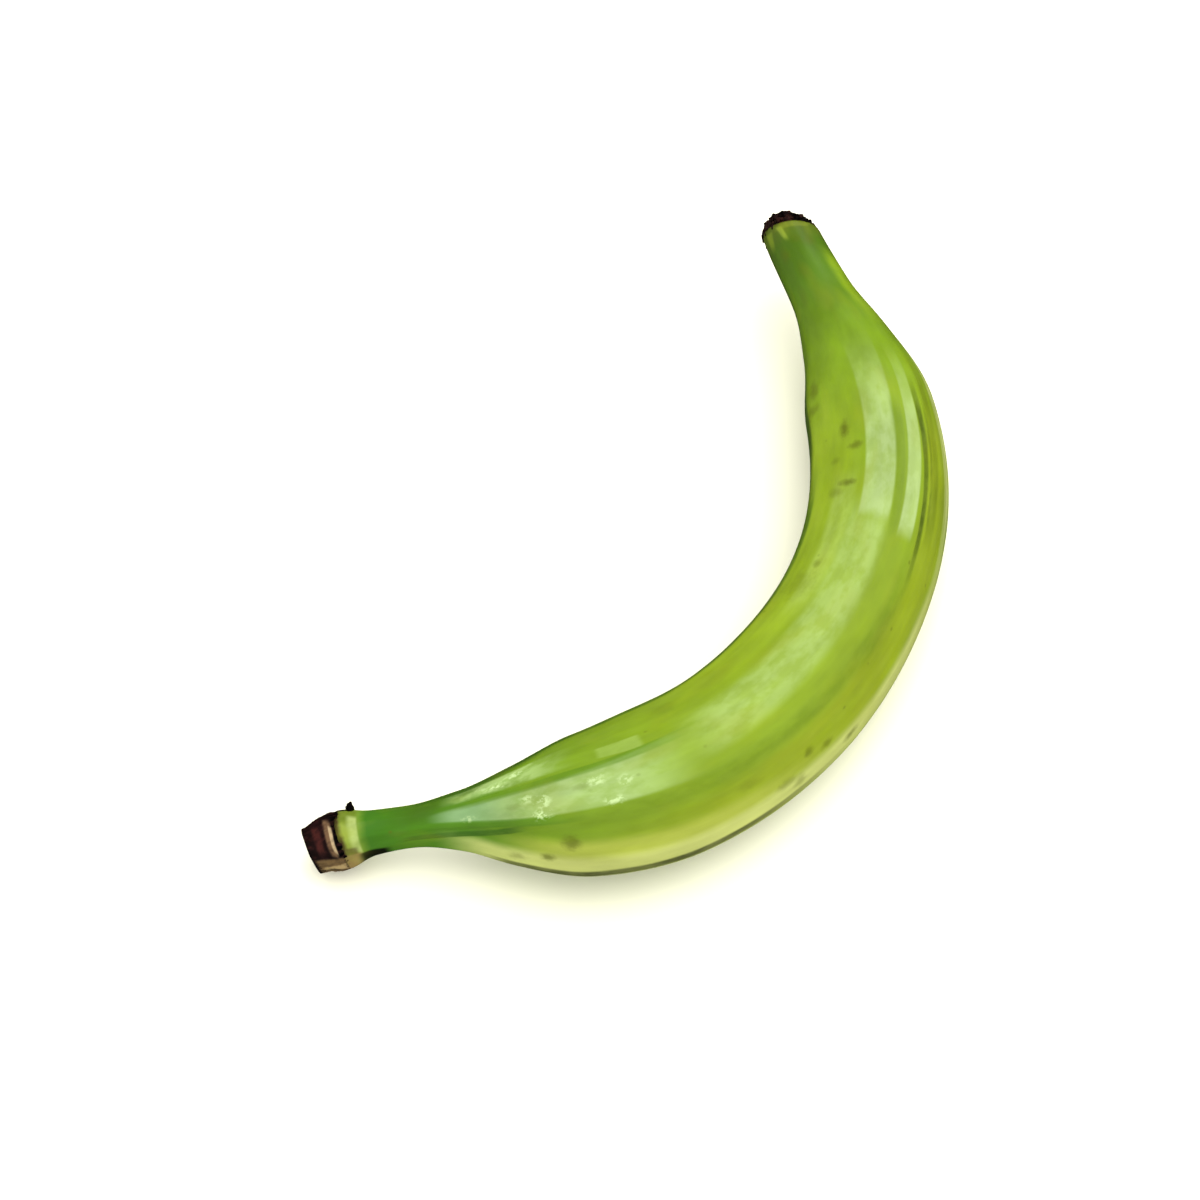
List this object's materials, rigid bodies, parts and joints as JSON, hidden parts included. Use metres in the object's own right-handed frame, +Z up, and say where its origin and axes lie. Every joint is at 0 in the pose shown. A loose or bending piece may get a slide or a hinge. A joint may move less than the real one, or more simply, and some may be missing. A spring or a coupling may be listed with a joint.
{
  "type": "plantain",
  "caption": "Whole unripe green plantain, a long curved fruit with a ridged peel, a dried cut stalk and a dark blossom end, lying on its side.",
  "frame": {"origin": "on the surface that the fruit lies on, under the centre of its bounding box", "axes": "+X along the line from the cut stalk to the blossom end, -Y towards the outer side of the bend, +Z up"},
  "size_m": [0.2594, 0.1137, 0.0418],
  "materials": {
    "peel": "satin",
    "dried_tissue": "matte"
  },
  "bodies": {
    "root": {"plantain": "peel"}
  },
  "joints": []
}
